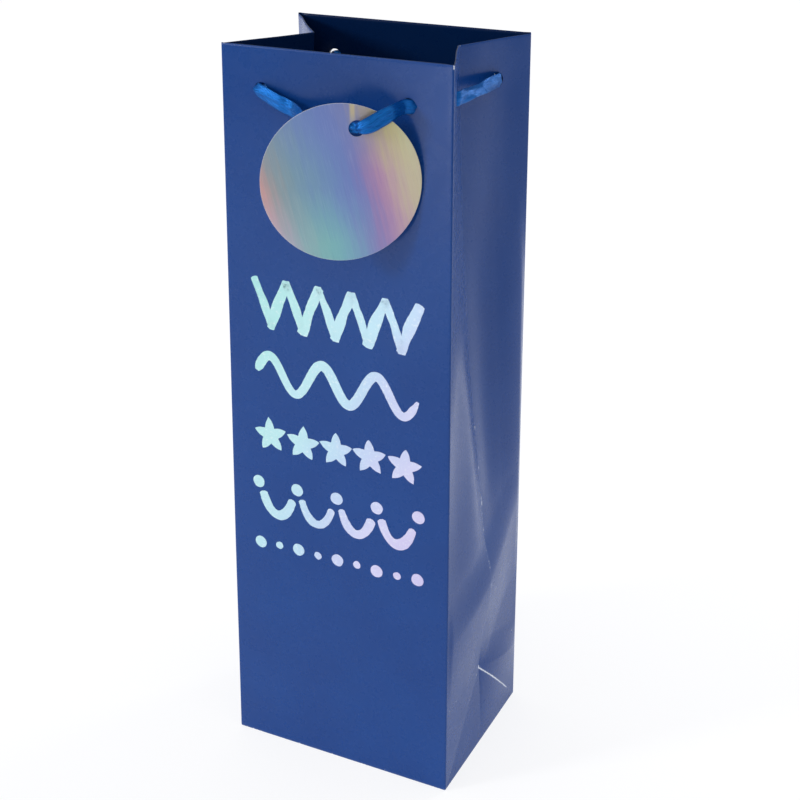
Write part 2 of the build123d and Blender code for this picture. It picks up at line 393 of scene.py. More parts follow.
def grey_board(name):
    """Recycled grey board with dark and light fibres and a fuzzy surface."""
    n = Nodes(bpy.data.materials.new(name))
    fibre = n.noise(n.stretch(n.place(), (1, 2.6, 1)), 330.0, 6.0, 0.75)
    flock = n.noise(n.stretch(n.place(), (1, 1, 1)), 48.0, 5.0)
    colour = n.mix(n.span(flock, 0.3, 0.7), (0.36, 0.34, 0.31, 1), (0.47, 0.45, 0.42, 1))
    colour = n.mix(n.span(fibre, 0.60, 0.72), colour, (0.62, 0.60, 0.56, 1))
    colour = n.mix(n.span(fibre, 0.36, 0.28), colour, (0.22, 0.20, 0.18, 1))
    return n.set(Base_Color=colour, Roughness=0.9, Normal=n.bump(fibre, 0.00012, 0.6))


def white_core(name):
    """Cut edge of white card."""
    n = Nodes(bpy.data.materials.new(name))
    fibre = n.noise(n.stretch(n.place(), (1, 1, 6)), 500.0)
    colour = n.mix(n.span(fibre, 0.35, 0.7), (0.78, 0.77, 0.74, 1), (0.90, 0.90, 0.88, 1))
    return n.set(Base_Color=colour, Roughness=0.8, Normal=n.bump(fibre, 0.00004, 0.5))


def satin(name):
    """Blue satin ribbon: lengthwise floats with a strong sheen, woven edges."""
    n = Nodes(bpy.data.materials.new(name))
    uv = n.stretch(n.place("UV"), (1, 1, 1))
    across, along, _ = n.split(uv)
    float_rib = n.math("SINE", n.times(across, 2 * pi * 34.0))
    weft = n.math("SINE", n.times(along, 2 * pi * 3.2))
    weave = n.plus(n.times(float_rib, 0.7), n.times(weft, 0.3))
    streak = n.noise(n.stretch(uv, (26.0, 0.35, 1)), 1.0, 4.0, 0.6)
    edge = n.math("ABSOLUTE", n.math("SUBTRACT", across, 0.5))
    selvedge = n.span(edge, 0.455, 0.475)
    colour = n.mix(n.span(streak, 0.3, 0.7), (0.001, 0.075, 0.320, 1), (0.003, 0.160, 0.540, 1))
    colour = n.mix(n.times(selvedge, 0.5), colour, (0.001, 0.06, 0.26, 1))
    n.set(Metallic=0.55, Anisotropic=0.8, Anisotropic_Rotation=0.25, Specular_IOR_Level=0.25)
    rough = n.span(streak, 0.2, 0.8, 0.22, 0.38)
    return n.set(Base_Color=colour, Roughness=rough, Normal=n.bump(weave, 0.00004, 0.4))


def srgb(*levels):
    """Linear colour from the 0..255 values of a screen."""
    return tuple(((v / 255 + 0.055) / 1.055) ** 2.4 for v in levels)


def tag_foil(name):
    """Brushed holographic film: leaning rainbow bands that differ from top to bottom, and fine streaks."""
    n = Nodes(bpy.data.materials.new(name))
    uv = n.place("UV")
    x, y, _ = n.split(uv)
    turned = n.stretch(uv, (1, 1, 1), radians(-13))
    fine = n.noise(n.stretch(turned, (210.0, 5.0, 1)), 1.0, 6.0, 0.65)
    broad = n.noise(n.stretch(turned, (30.0, 1.6, 1)), 1.0, 4.0, 0.65)
    drift = n.noise(n.stretch(uv, (2.4, 2.4, 1)), 1.0, 2.0)
    band = n.plus(n.plus(x, n.sway(y, 0.24)), n.plus(n.sway(broad, 0.16), n.sway(drift, 0.10)))

    def bands(*stops):
        return n.ramp(band, [(place, *srgb(*colour)) for place, *colour in stops])

    top = bands(
        (0.10, 110, 140, 150), (0.30, 78, 122, 186), (0.50, 58, 94, 192), (0.66, 92, 104, 178),
        (0.76, 160, 140, 140), (0.88, 204, 184, 70), (1.00, 206, 204, 150),
    )
    middle = bands(
        (0.00, 216, 140, 130), (0.09, 130, 138, 136), (0.22, 84, 144, 160), (0.44, 62, 116, 186),
        (0.58, 62, 88, 186), (0.68, 136, 88, 164), (0.78, 190, 116, 160), (0.90, 206, 188, 140),
    )
    bottom = bands(
        (0.02, 190, 160, 180), (0.16, 120, 164, 168), (0.34, 84, 182, 172), (0.50, 86, 146, 186),
        (0.62, 92, 100, 180), (0.72, 158, 92, 168), (0.86, 206, 160, 160), (1.00, 210, 196, 150),
    )
    height = n.plus(y, n.sway(broad, 0.22))
    colour = n.mix(n.span(height, 0.12, 0.46), bottom, middle)
    colour = n.mix(n.span(height, 0.56, 0.86), colour, top)
    # one bright streak stands above the hole
    from_streak = n.math("ABSOLUTE", n.math("SUBTRACT", x, 0.578))
    above = n.times(n.span(from_streak, 0.022, 0.008), n.span(y, 0.84, 0.94, 0.0, 0.6))
    colour = n.mix(above, colour, (*srgb(226, 200, 90), 1))
    colour = n.mix(0.18, colour, (0.80, 0.90, 1.0, 1))
    colour = n.mix(n.times(n.span(fine, 0.54, 0.80), 0.22), colour, (0.72, 0.86, 0.90, 1))
    colour = n.mix(n.times(n.span(fine, 0.46, 0.26), 0.22), colour, (0.08, 0.12, 0.30, 1))
    n.set(Metallic=0.35, Anisotropic=0.5, Specular_IOR_Level=0.3)
    rough = n.span(fine, 0.3, 0.7, 0.28, 0.42)
    return n.set(Base_Color=colour, Roughness=rough, Normal=n.bump(fine, 0.00003, 0.35))


def print_foil(name):
    """Hot-stamped pearl foil: mint at the upper left, lilac at the lower right, faint sparkle."""
    n = Nodes(bpy.data.materials.new(name))
    place = n.place()
    x, _, z = n.split(place)
    across = n.times(n.span(x, -0.045, 0.045), 0.62)
    down = n.times(n.span(z, 0.250, 0.115), 0.38)
    drift = n.noise(place, 26.0, 3.0)
    colour = n.ramp(
        n.plus(n.plus(across, down), n.sway(drift, 0.42)),
        [
            (0.00, 0.36, 0.74, 0.72), (0.25, 0.52, 0.82, 0.82), (0.48, 0.50, 0.74, 0.88),
            (0.66, 0.56, 0.62, 0.88), (0.82, 0.70, 0.68, 0.90), (1.00, 0.62, 0.55, 0.84),
        ],
    )
    speck = n.noise(place, 700.0, 3.0, 0.7)
    colour = n.mix(n.times(n.span(speck, 0.55, 0.72), 0.5), colour, (0.92, 0.97, 0.98, 1))
    n.set(Metallic=0.25, Roughness=0.34, Coat_Weight=0.3, Coat_Roughness=0.2)
    return n.set(Base_Color=colour, Normal=n.bump(speck, 0.00002, 0.5))


laminate = blue_laminate("blue_laminate")
# painted shade: the hem's blue is darkened to 0.30 of the print to stand for the shade inside the mouth; the
# eyelet walls use it too
hem_laminate_painted_shade = blue_laminate("blue_laminate_hem_painted_shade", worn=False, ior=1.2, painted_shade_factor=0.30)
laminate_base = blue_laminate("blue_laminate_base", worn=False, both_sides=True)
inside_paper = raw_paper("raw_paper")
board_fibre = grey_board("grey_board")
card_core = white_core("white_core")
ribbon_satin = satin("ribbon_satin")
tag_film = tag_foil("tag_film")
pearl_foil = print_foil("pearl_foil")

SHEET_MATERIALS = [laminate, inside_paper, hem_laminate_painted_shade, card_core]
OUTSIDE, RAW_INSIDE, HEM, CUT_EDGE = range(4)


# ---- shape of the folded sheet


def face_point(outward, x, up, out=0.0):
    """Point of the front or back panel, given along it and off it."""
    lean = LEAN[outward]
    y = outward * (HALF_D - up * sin(lean) + out * cos(lean))
    return Vector((x, y, up * cos(lean) + out * sin(lean)))


def face_normal(outward):
    """Outward normal of a panel."""
    return Vector((0, outward * cos(LEAN[outward]), sin(LEAN[outward])))


def half_width(outward, up):
    """Half width of a panel at a height up it."""
    return HALF_W - (DRAW_IN * up / HEIGHT if outward < 0 else 0.0)


def panel_relief(outward, s, up):
    """How far the panel's skin stands off its plane: a soft bow and slack, none at the folds."""
    edge = 1 - s * s
    if edge <= 0:
        return 0.0
    along = up / HEIGHT
    seed = 3.1 if outward < 0 else 17.7
    slack = noise.noise(Vector((s * 1.1 + seed, along * 2.3, 0.4)))
    ripple = noise.noise(Vector((s * 3.1, along * 6.0 + seed, 1.7)))
    free = smooth((HEIGHT - up) / 70.0) * smooth(up / 50.0)
    if outward < 0:
        free *= 1 - 0.85 * smooth((up - 225.0) / 40.0)  # the stiffened part behind the tag is flat
    return edge * free * (0.9 * sin(pi * along) + 0.95 * slack + 0.16 * ripple)


def crease_out(side, z):
    """How far a gusset's crease stands out of the side, tucked in when negative."""
    if z <= FOOT:
        return FOOT_DENT * z / FOOT
    out = profile_at(CREASE_PROFILE, z)
    return out * LEFT_TUCK if side < 0 and z > TUCK_FROM and out < 0 else out


def gusset_line(side, half, z):
    """A gusset half at a height: its corner on the panel, its crease, the way between and the way out."""
    front_y = -HALF_D + z * tan(LEAN[-1])
    back_y = HALF_D - z * tan(LEAN[1])
    crease = Vector((side * (HALF_W + crease_out(side, z)), (front_y + back_y) / 2, z))
    edge = Vector((side * half_width(half, z), front_y if half < 0 else back_y, z))
    along = (crease - edge).normalized()
    return edge, crease, along, UP.cross(along) * (side * half)


def gusset_relief(side, half, t, z):
    """How far a gusset half's paper stands out of the line from its corner (t=0) to the crease (t=1)."""
    seed = 5.3 * side + 9.1 * half
    slack = noise.noise(Vector((t * 1.4 + seed, z / 95.0, 2.2)))
    ripple = noise.noise(Vector((t * 2.7 + seed, z / 34.0, 5.2)))
    out = 4 * t * (1 - t) * (0.9 * slack + 0.22 * ripple) * smooth((z - 100.0) / 60.0)
    if half > 0:
        sunk = smooth((z - 235.0) / 60.0)
        bulge = profile_at(BACK_BULGE, t) * (1 - sunk) + profile_at(BACK_SINK, t) * sunk
        bulge *= 1.0 if side > 0 else 0.4
        out += bulge * smooth((z - 118.0) / 40.0) * (1 - 0.6 * smooth((z - 335.0) / 20.0))
    else:
        out += 1.6 * sin(pi * t**1.6) * smooth((z - 96.0) / 30.0) * (1 - smooth((z - 190.0) / 50.0))
    if z < FOOT:
        # flat facets between the diagonals from the crease's end to the bottom corners
        out += FOOT_DENT * (min(z / FOOT, t) - t * z / FOOT)
    return out + foot_buckle(half, t, z)


def foot_buckle(half, t, z):
    """Diagonal buckle from the back fold down to the front fold, and the fold across the back corner."""
    across = t / 2 if half < 0 else 1 - t / 2  # 0 at the front fold, 1 at the back fold
    crest = 82.0 + 46.0 * across**1.5  # height of the buckle's ridge
    trough = 47.0 + 30.0 * smooth((across - 0.5) / 0.4)
    out = 0.8 + 2.0 * sin(pi * across)
    if z > crest:
        out *= 1 - smooth((z - crest) / 26.0)
    else:
        out *= max(0.0, (z - trough) / (crest - trough))
    out *= smooth(across / 0.05) * smooth((1 - across) / 0.05)
    if half > 0:
        # crisp fold from the crease's end to the back fold, the paper sunk just above it
        fold_at = FOOT - 11.0 * (1 - t)
        shape = z / fold_at if z <= fold_at else max(0.0, 1 - (z - fold_at) / 15.0)
        out += sin(pi * t) ** 0.8 * FOLD_LIFT * shape
    return out


def sheet_rows():
    """Heights of the mesh rows, closer together in the foot, at the hem's edge and at the mouth."""
    rows = [0.0, 0.1, 0.25, 0.45, 0.7, 1.2, 2.0]
    rows += [2.0 + 1.0 * i for i in range(1, 43)] + [44.5, 45.0, 45.5]
    rows += [46.0 + 1.6 * i for i in range(65)]
    rows += [150.0 + 4.0 * i for i in range(1, 43)]
    rows += [HEM_LOW - 0.15, HEM_LOW + 0.15]
    rows += [324.0 + 3.5 * i for i in range(10)]
    rows += [358.2, 359.0]
    return sorted(rows)


ROWS = sheet_rows()


def base_round(up):
    """How far the skin is drawn in at the rounded fold round the base."""
    return BASE_R - sqrt(BASE_R**2 - max(0.0, BASE_R - up) ** 2)


def sheet_faces(rows, cols, turn=0):
    """Quads of a closed sheet: up its outside, over the rounded top, down its inside, and its side rims."""
    total = 2 * rows + turn
    faces = grid_faces(total, cols, wrap_rows=True)
    for c in (0, cols - 1):
        for i in range(rows - 1):
            low, high = i * cols + c, (total - 1 - i) * cols + c
            faces.append([low, low + cols, high - cols, high])
        if turn:
            faces.append([(rows - 1 + k) * cols + c for k in range(turn + 2)])
    return faces


def solid_sheet(name, outer, inner, up_dir, thick_top, mirrored):
    """Closed sheet from two grids of rows, joined over a rounded top edge and along every border."""
    rows, cols = len(outer), len(outer[0])
    loop = list(outer)
    for k in range(1, TOP_TURN + 1):
        angle = pi * k / (TOP_TURN + 1)
        lift = up_dir * (thick_top / 2) * sin(angle)
        loop.append([(a + b) / 2 + (a - b) / 2 * cos(angle) + lift for a, b in zip(outer[-1], inner[-1])])
    loop += inner[::-1]
    slots = [OUTSIDE] * (rows + 1)
    for up in [ROWS[-1]] * (TOP_TURN - 1) + ROWS[::-1][1:]:
        slots.append(RAW_INSIDE if up < HEM_LOW - 0.2 else CUT_EDGE if up < HEM_LOW + 0.1 else HEM)
    slots.append(CUT_EDGE)
    slots = [slot for slot in slots for _ in range(cols - 1)]
    slots += ([CUT_EDGE] * (rows - 1) + [OUTSIDE]) * 2
    verts = [p for row in loop for p in row]
    faces = sheet_faces(rows, cols, TOP_TURN)
    if mirrored:
        faces = [face[::-1] for face in faces]
    return make_object(name, verts, faces, SHEET_MATERIALS, slots)


def set_wear(obj, rule, attribute="fold_wear"):
    """Writes a wear attribute from a rule of the position in millimetres."""
    layer = obj.data.attributes.new(attribute, "FLOAT", "POINT")
    layer.data.foreach_set("value", [rule(v.co / MM) for v in obj.data.vertices])


def fade(distance, reach):
    """1 at no distance, fading evenly to 0 at the reach."""
    return max(0.0, 1 - distance / reach)


def near_line(p, a, b, reach):
    """1 on the segment a-b, fading to 0 at a distance."""
    along = b - a
    f = min(1.0, max(0.0, (p - a).dot(along) / along.length_squared))
    return fade((p - a - along * f).length, reach)


def corner_turn(side, outward, up):
    """Angle that a panel's vertical fold turns through at a height, and its tangent length."""
    along = gusset_line(side, outward, up * cos(LEAN[outward]))[2]
    turn = acos(max(-1.0, min(1.0, along.x * side)))
    return turn, FOLD_R * tan(turn / 2)


def punch_panel(obj, outward, material):
    """Cuts both eyelets of a panel."""
    for side in (-1, 1):
        punch(obj, face_point(outward, side * EYE_X[outward], EYE_UP), face_normal(outward), material)


def panel_piece(outward):
    """Front or back panel with its turned-in hem, rounded folds down both sides and a rounded mouth edge."""
    flat = face_normal(outward)
    outer, inner = [], []
    for up in ROWS:
        half = half_width(outward, up)
        tuck = base_round(up)
        folds, ends = [], []
        for side in (-1, 1):
            turn, tangent = corner_turn(side, outward, up)
            ends.append(side * (half - tangent))
            centre = RIGHT * ends[-1] - flat * FOLD_R
            fold = []
            for k in range(FOLD_STEPS + 1):
                # from the flat of the panel round to the gusset's direction
                radial = flat * cos(turn * k / FOLD_STEPS) + RIGHT * side * sin(turn * k / FOLD_STEPS)
                fold.append((centre + radial * FOLD_R, radial, -tuck, PAPER))
            folds.append(fold)
        middle = []
        for c in range(1, PANEL_COLUMNS):
            x = ends[0] + (ends[1] - ends[0]) * c / PANEL_COLUMNS
            thick = PAPER
            if up > HEM_LOW:
                full = smooth((half - abs(x) - 1.5) / 2.5)
                thick = HEM_THICK_AT_FOLD + (HEM_THICK - HEM_THICK_AT_FOLD) * full
            middle.append((RIGHT * x, flat, panel_relief(outward, x / half, up) - tuck, thick))
        base = face_point(outward, 0, up)
        stations = folds[0][::-1] + middle + folds[1]
        outer.append([base + point + way * out for point, way, out, _ in stations])
        inner.append([base + point + way * (out - thick) for point, way, out, thick in stations])
    up_dir = Vector((0, -outward * sin(LEAN[outward]), 1)).normalized()
    obj = solid_sheet(f"{WHERE[outward]}_panel_paper", outer, inner, up_dir, HEM_THICK + 0.1, outward > 0)
    # painted shade: the eyelet walls take the darkened hem material instead of the cut paper's white
    punch_panel(obj, outward, hem_laminate_painted_shade)

    def rule(p):
        from_fold = abs(abs(p.x) - half_width(outward, p.z))
        corner = fade(Vector((from_fold, min(p.z, HEIGHT - p.z))).length, 4.0)
        return min(1.0, 0.27 * fade(HEIGHT - p.z, 1.6) + 0.55 * fade(p.z, 1.8) + 0.3 * corner)

    mouth_corner = Vector((half_width(-1, HEIGHT), -HALF_D + HEIGHT * sin(LEAN[-1]), HEIGHT - 0.9))
    set_wear(obj, rule)
    set_wear(obj, lambda p: 1.2 * near_line(p, mouth_corner, mouth_corner - UP, 2.2), "bare_line")
    stand_for(obj, "printed_paper", f"{WHERE[outward]}_panel", f"{WHERE[outward]}_hem")
    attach(obj, WHERE[outward])


def gusset_eyelet(side, half):
    """Centre of a gusset half's eyelet on its outer face, and the direction out of the bag there."""
    edge, _, along, out = gusset_line(side, half, EYE_UP)
    return edge + along * GUSSET_EYE_FROM_FOLD, out


def blend_field(obj, half):
    """Bakes a piece's placement into its mesh."""
    flat = face_normal(half)
    fold = face_point(half, 0, HEIGHT / 2)
    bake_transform(obj)


def gusset_piece(side, half):
    """One half of a side gusset, from the base fold to the mouth, with its hem."""
    outer, inner = [], []
    outward = RIGHT * side
    for z in ROWS:
        edge, crease, along, out_dir = gusset_line(side, half, z)
        tangent = corner_turn(side, half, z)[1]
        start = edge + along * (tangent - 0.12) - out_dir * 0.015  # just inside the panel's fold
        thick = GUSSET_HEM_THICK if z > HEM_LOW else PAPER
        tuck = base_round(z)
        row_out, row_in = [], []
        for c in range(GUSSET_COLUMNS):
            t = 1 - (1 - c / GUSSET_COLUMNS) ** 1.25  # closer together at the crease
            turn = smooth((t - 0.8) / 0.2)
            shift = (out_dir * (1 - turn) + outward * turn) * (gusset_relief(side, half, t, z) - tuck)
            point = start + (crease - start) * t + shift
            row_out.append(point)
            row_in.append(point - out_dir * thick)
        point = crease + outward * (foot_buckle(half, 1.0, z) - tuck)
        outer.append(row_out + [point])
        inner.append(row_in + [point - outward * thick])
    name = f"{SIDE[side]}_gusset_{WHERE[half]}"
    obj = solid_sheet(f"{name}_paper", outer, inner, UP, GUSSET_HEM_THICK, side * half < 0)
    # painted shade: the eyelet wall takes the darkened hem material instead of the cut paper's white
    punch(obj, *gusset_eyelet(side, half), hem_laminate_painted_shade)
    apex = Vector((side * (HALF_W + FOOT_DENT), 0, FOOT))
    corner = Vector((side * HALF_W, half * HALF_D, 0))
    shoulder = Vector((side * HALF_W, half * (HALF_D - FOOT * tan(LEAN[1])), FOOT))

    def rule(p):
        edge, crease, _, _ = gusset_line(side, half, p.z)
        from_crease = abs(p.y - crease.y)
        down = HEIGHT - p.z
        along_crease = smooth((p.z - 82.0) / 12.0) * (0.35 + 0.65 * smooth((250.0 - p.z) / 120.0))
        return max(
            0.52 * fade(from_crease, 0.8) * along_crease,
            0.5 * near_line(p, apex, corner, 1.1),
            0.55 * near_line(p, apex, shoulder, 0.9),
            0.35 * fade(abs(p.y - edge.y), 1.6),
            0.5 * fade(p.z, 1.6),
            0.3 * fade(down, 1.2),
            0.8 * fade(down + from_crease, 2.4),
        )

    def scuff_rule(p):
        # measured in the side's plane, as the paper is buckled across it
        seen = Vector((0, p.y, p.z))
        low_end = UP * FOOT
        spot = 1.1 * near_line(seen, low_end, low_end + UP, 2.4)
        if half < 0:
            return spot
        return max(spot, near_line(seen, low_end, low_end.lerp(Vector((0, HALF_D, 0)), 0.76), 2.0))

    set_wear(obj, rule)
    set_wear(obj, scuff_rule, "bare_line")
    more = [f"{SIDE[side]}_gusset_foot", f"{SIDE[side]}_gusset_hem"] if half < 0 else []
    stand_for(obj, "printed_paper", name, *more)
    blend_field(obj, half)


for panel in (-1, 1):
    panel_piece(panel)
for gusset_side in (1, -1):
    for gusset_half in (-1, 1):
        gusset_piece(gusset_side, gusset_half)


# ---- seam flap, cards and base


def seam_flap():
    """Glue flap inside the left gusset's back half."""
    side, half = -1, 1
    columns, row_steps = 24, 90
    from_fold, width, gap = 2.2, 11.0, 0.12
    low, high = 46.0, HEM_LOW - 1.0
    outer, inner = [], []
    for i in range(row_steps + 1):
        z = low + (high - low) * i / row_steps
        edge, crease, along, out_dir = gusset_line(side, half, z)
        tangent = corner_turn(side, half, z)[1]
        row = []
        for c in range(columns + 1):
            across = from_fold + width * c / columns
            relief = gusset_relief(side, half, across / (crease - edge).length, z)
            row.append(edge + along * (across + tangent) + out_dir * (relief - PAPER - gap))
        outer.append(row)
        inner.append([point - out_dir * PAPER for point in row])
    verts = [p for row in outer + inner[::-1] for p in row]
    obj = make_object("side_seam_flap_paper", verts, sheet_faces(len(outer), columns + 1), [inside_paper])
    stand_for(obj, "printed_paper", "side_seam_flap")
    blend_field(obj, half)


def paint(node_name, material):
    """Gives a CAD piece that is shown as it is its finished material."""
    obj = cad_nodes[node_name]
    obj.data.materials.clear()
    obj.data.materials.append(material)


def mouth_card(outward):
    """Stiffening card between the panel and its hem, its corners slightly rounded."""
    low, high, half, round_r = HEIGHT - 33.0, HEIGHT - 1.5, 51.0, 2.0
    outline = []
    for cx, cz, first in ((1, 1, 0), (-1, 1, 90), (-1, -1, 180), (1, -1, 270)):
        for k in range(5):
            angle = radians(first + 22.5 * k)
            centre_up = high - round_r if cz > 0 else low + round_r
            outline.append((cx * (half - round_r) + round_r * cos(angle), centre_up + round_r * sin(angle)))
    verts = [face_point(outward, x, up, -inset) for inset in (0.36, 1.14) for x, up in outline]
    count = len(outline)
    faces = [list(range(count)), list(range(count, 2 * count))] + grid_faces(2, count, wrap_cols=True)
    obj = make_object(f"{WHERE[outward]}_card_board", verts, faces, [board_fibre])
    punch_panel(obj, outward, board_fibre)
    stand_for(obj, "grey_card", f"{WHERE[outward]}_card")
    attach(obj, WHERE[outward])


seam_flap()
cad_nodes = {o.name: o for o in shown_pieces()}
for flap in ("front", "back", "left", "right"):
    paint(f"base_flap_{flap}", laminate_base)
paint("base_board", board_fibre)
mouth_card(-1)
mouth_card(1)


# ---- tag


def tag_point(at, out):
    """Point off the tag's plane, given from its centre."""
    return TAG_CENTRE + TAG_X * at.x + UP * at.y + TAG_OUT * out


def gift_tag():
    """Round tag with a punched hole: film on the front, white card edge and back."""
    half = TAG_THICK / 2
    steps = [(i / TAG_RINGS) ** 0.8 for i in range(TAG_RINGS)]
    # rings as (share of the way from the hole to the rim, height): front, bevelled rim, back
    rings = [(s, half) for s in steps] + [(0.9985, half), (1.0, half - 0.06)]
    rings += [(share, -out) for share, out in reversed(rings)]
    verts, uvs = [], []
    for share, out in rings:
        for k in range(TAG_SPOKES):
            angle = 2 * pi * k / TAG_SPOKES
            ray = Vector((cos(angle), sin(angle)))
            flat = (TAG_HOLE + ray * TAG_HOLE_R).lerp(ray * TAG_R, share)
            bow = 0.35 - 0.0009 * (flat.x * 0.94 - flat.y * 0.34) ** 2  # the card is very slightly curled
            verts.append(tag_point(flat, out + bow))
            uvs.append(flat / (2 * TAG_R) + Vector((0.5, 0.5)))
    faces = grid_faces(len(rings), TAG_SPOKES, wrap_rows=True, wrap_cols=True)
    slots = [0 if i < TAG_RINGS * TAG_SPOKES else 1 for i in range(len(faces))]
    obj = make_object("gift_tag_card", verts, faces, [tag_film, card_core], slots)
    set_uv(obj, uvs)
    stand_for(obj, "holographic_card", "gift_tag")
    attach(obj, "tag")


gift_tag()


# ---- ribbon


def ribbon_strip(name, stations, steps, *nodes):
    """Satin strip through stations of (centre, direction across, width, cup, pleat)."""
    centres = [s[0] for s in stations]
    acrosses = [s[1].normalized() for s in stations]
    numbers = [Vector(s[2:]) for s in stations]
    verts, uvs = [], []
    length = 0.0
    previous = centres[0]
    shares = [c / SATIN_COLUMNS for c in range(SATIN_COLUMNS + 1)]
    for i in range(steps + 1):
        t = i / steps
        centre = spline(centres, t)
        ahead = spline(centres, min(1.0, t + 0.002)) - spline(centres, max(0.0, t - 0.002))
        ahead.normalize()
        across = spline(acrosses, t)
        across = (across - ahead * across.dot(ahead)).normalized()
        normal = ahead.cross(across).normalized()
        width, cup, pleat = spline(numbers, t)
        length += (centre - previous).length
        previous = centre
        row = []
        for share in shares:
            a = 2 * share - 1
            rise = cup * (1 - a * a) + 0.55 * pleat * sin(a * pi * 2.0 + 0.6 * sin(length * 0.30))
            # ripples that run along the ribbon where it is gathered
            rise += 0.06 * noise.noise(Vector((a * 2.2, length * 0.12, 7.7)))
            row.append(centre + across * (a * width / 2) + normal * rise)
        lift = normal * (SATIN_THICK / 2)
        verts += [p + lift for p in row] + [p - lift for p in row[::-1]]
        uvs += [(share, length) for share in shares + shares[::-1]]
    ring = 2 * len(shares)
    faces = grid_faces(steps + 1, ring, wrap_cols=True)
    faces += [list(range(ring)), list(range(steps * ring, (steps + 1) * ring))]
    obj = make_object(name, verts, faces, [ribbon_satin], sharp=60)
    set_uv(obj, uvs)
    stand_for(obj, "satin_ribbon", *nodes)
    return obj


def by_eye(outward, x, down=0.0, out=0.0):
    """Point of a panel, given down from its eyelets and off it."""
    return face_point(outward, x, EYE_UP - down, out)


def hole_point(x, y, out):
    """Point given from the tag's hole."""
    return tag_point(TAG_HOLE + Vector((x, y)), out)


def front_span():
    """Visible front ribbon, in two lengths that meet in the tag's hole."""
    eye = EYE_X[-1]
    tag_across = UP * 0.95 + TAG_X * 0.1
    left = [
        (by_eye(-1, -eye - 2.0, 0.0, -2.6), UP, 6.0, 2.2, 0.4),
        (by_eye(-1, -eye - 0.6, 0.0, 0.3), UP, 6.4, 2.4, 0.4),
        (by_eye(-1, -eye + 4.0, 1.3, 2.2), UP, 6.7, 1.4, 0.3),
        (by_eye(-1, -25.0, 3.6, 3.6), UP, 6.9, 0.9, 0.25),
        (by_eye(-1, -15.0, 6.2, 5.6), UP, 7.0, 0.8, 0.25),
        (hole_point(-20.0, 1.2, -4.4), tag_across, 6.4, 0.9, 0.3),
        (hole_point(-8.5, 0.6, -3.6), tag_across, 6.0, 1.0, 0.4),
        (hole_point(0.6, 0.0, 0.2), UP * 0.8 - TAG_X * 0.5, 4.6, 1.1, 0.6),
    ]
    right = [
        (hole_point(0.2, 0.0, -0.6), UP * 0.8 - TAG_X * 0.5, 4.4, 1.1, 0.6),
        (hole_point(1.6, 0.5, 1.9), UP * 0.9 - TAG_X * 0.42, 5.6, 1.2, 0.6),
        (hole_point(5.2, 2.0, 3.0), UP * 0.92 - TAG_X * 0.36, 6.8, 1.3, 0.55),
        (hole_point(9.6, 4.2, 2.6), UP * 0.94 - TAG_X * 0.32, 7.0, 1.2, 0.5),
        (hole_point(14.0, 6.3, 1.7), UP * 0.96 - TAG_X * 0.25, 6.6, 1.1, 0.45),
        (by_eye(-1, eye - 1.6, 0.0, 2.4), UP, 6.4, 1.8, 0.4),
        (by_eye(-1, eye + 1.0, 0.0, 0.2), UP, 6.2, 2.2, 0.4),
        (by_eye(-1, eye + 2.4, 0.0, -2.4), UP, 6.0, 2.0, 0.4),
    ]
    for side, stations in ((-1, left), (1, right)):
        obj = ribbon_strip(f"ribbon_front_{SIDE[side]}_length", stations, 120, "ribbon_front_span")
        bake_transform(obj)


def back_span():
    """Back ribbon, hanging in a shallow loop with its ends tied in the middle."""
    eye = EYE_X[1]
    for side in (-1, 1):
        across = (UP * 0.5 - RIGHT * side * 0.86).normalized()
        stations = [
            (by_eye(1, side * (eye + 1.4), 0.0, -2.0), UP, 4.2, 1.1, 0.6),
            (by_eye(1, side * (eye + 0.3), 0.0, 0.6), UP, 4.8, 1.1, 0.5),
            (by_eye(1, side * (eye - 3.5), 0.8, 2.4), UP, 5.4, 1.0, 0.4),
            (by_eye(1, side * (eye - 9.0), 7.5, 2.8), across, 6.2, 0.8, 0.3),
            (by_eye(1, side * 24.0, 24.0, 2.6), across, 6.4, 0.7, 0.25),
            (by_eye(1, side * 15.0, 38.0, 2.4), UP + across, 6.2, 0.7, 0.3),
            (by_eye(1, side * 6.5, KNOT_DOWN - 0.6, 2.3), UP, 5.0, 0.8, 0.5),
            (by_eye(1, side * 2.0, KNOT_DOWN, 2.2), UP, 3.6, 0.8, 0.6),
        ]
        obj = ribbon_strip(f"ribbon_back_{SIDE[side]}_length", stations, 110, "ribbon_back_span")
        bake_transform(obj)


def ribbon_knot():
    """Overhand knot: a fat wrap round the two ends, and the two cut tails below it."""
    wrap = []
    turns = 16
    for i in range(turns + 1):
        angle = 2 * pi * 1.25 * i / turns - 0.6
        centre = by_eye(1, -2.4 + 4.8 * i / turns, KNOT_DOWN - 3.24 * sin(angle), 2.2 + 1.25 * cos(angle))
        wrap.append((centre, RIGHT + UP * 0.35, 5.6, 0.7, 0.35))
    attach(ribbon_strip("ribbon_knot_wrap", wrap, 90, "ribbon_knot"), "back_handle")
    for side in (-1, 1):
        tail = [
            (by_eye(1, side * 1.2, KNOT_DOWN - 0.5, 2.2), RIGHT, 4.0, 0.6, 0.5),
            (by_eye(1, side * 2.8, KNOT_DOWN + 4.0, 2.7), RIGHT + UP * 0.2, 5.2, 0.6, 0.4),
            (by_eye(1, side * 4.4, KNOT_DOWN + 9.5, 2.6), RIGHT + UP * side * 0.35, 6.2, 0.4, 0.2),
            (by_eye(1, side * 6.0, KNOT_DOWN + 16.5, 2.9), RIGHT + UP * side * 0.6, 6.4, 0.2, 0.1),
        ]
        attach(ribbon_strip(f"ribbon_knot_tail_{SIDE[side]}", tail, 50, "ribbon_knot"), "back_handle")


